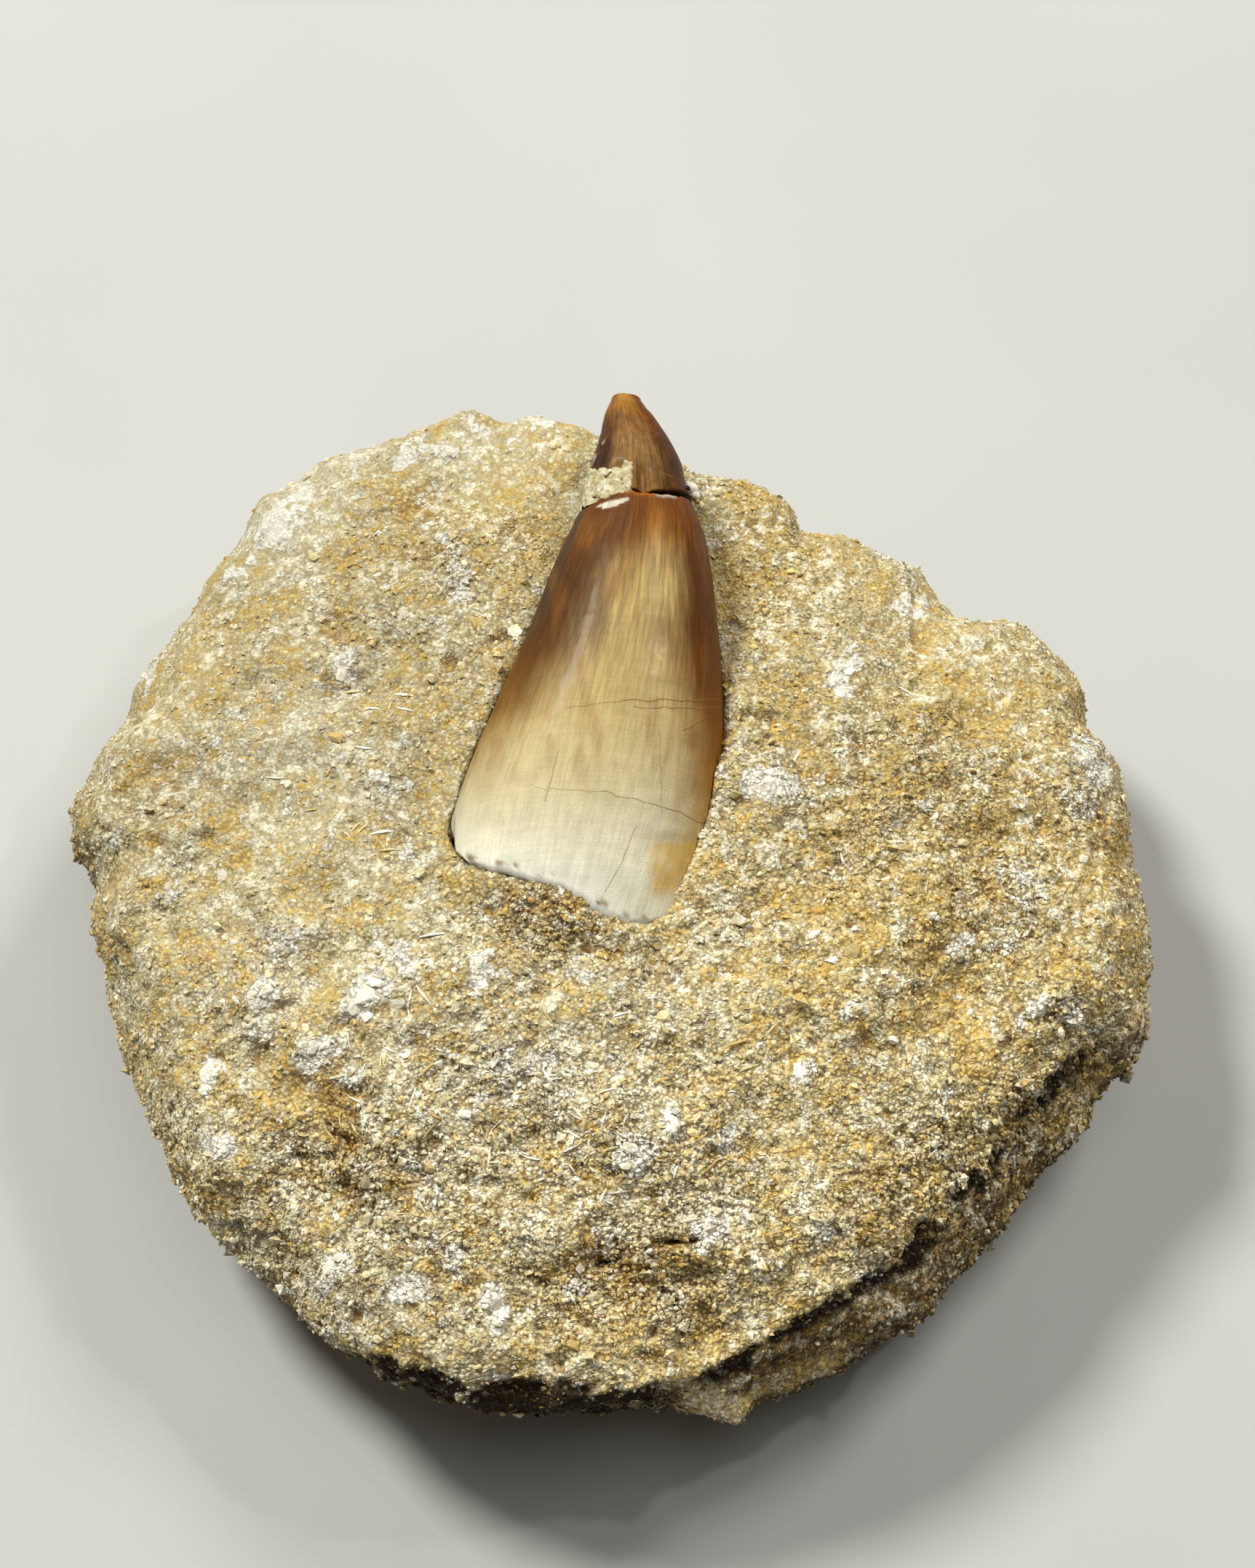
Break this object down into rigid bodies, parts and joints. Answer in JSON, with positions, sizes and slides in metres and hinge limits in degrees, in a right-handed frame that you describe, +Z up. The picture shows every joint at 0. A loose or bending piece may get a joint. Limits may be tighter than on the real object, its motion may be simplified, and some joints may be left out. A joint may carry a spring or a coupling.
{
  "type": "fossil mosasaur tooth in matrix",
  "caption": "Curved reptile tooth crown half buried in a rounded lump of sandy matrix stone, its re-set tip standing out over the far rim. Lies on a small flat spot.",
  "frame": {"origin": "in the flat spot that the stone lies on, under the middle of the stone", "axes": "+Z up through the stone, the tooth on top; +Y from the near rim to the far rim, which the tooth's tip points to; +X to the right"},
  "size_m": [0.1027, 0.1005, 0.0368],
  "materials": {
    "matrix": "rough sandy grain, tan with ochre stains and white shell flecks",
    "enamel": "glossy enamel, brown at the tip to ivory at the base, with fine streaks along it",
    "tip_enamel": "glossy red-brown enamel",
    "filler": "matt cream filler with fine grain"
  },
  "bodies": {
    "root": {"matrix_stone": "matrix", "tooth_crown": "enamel", "tooth_tip": "tip_enamel", "break_filler": "filler"}
  },
  "joints": []
}
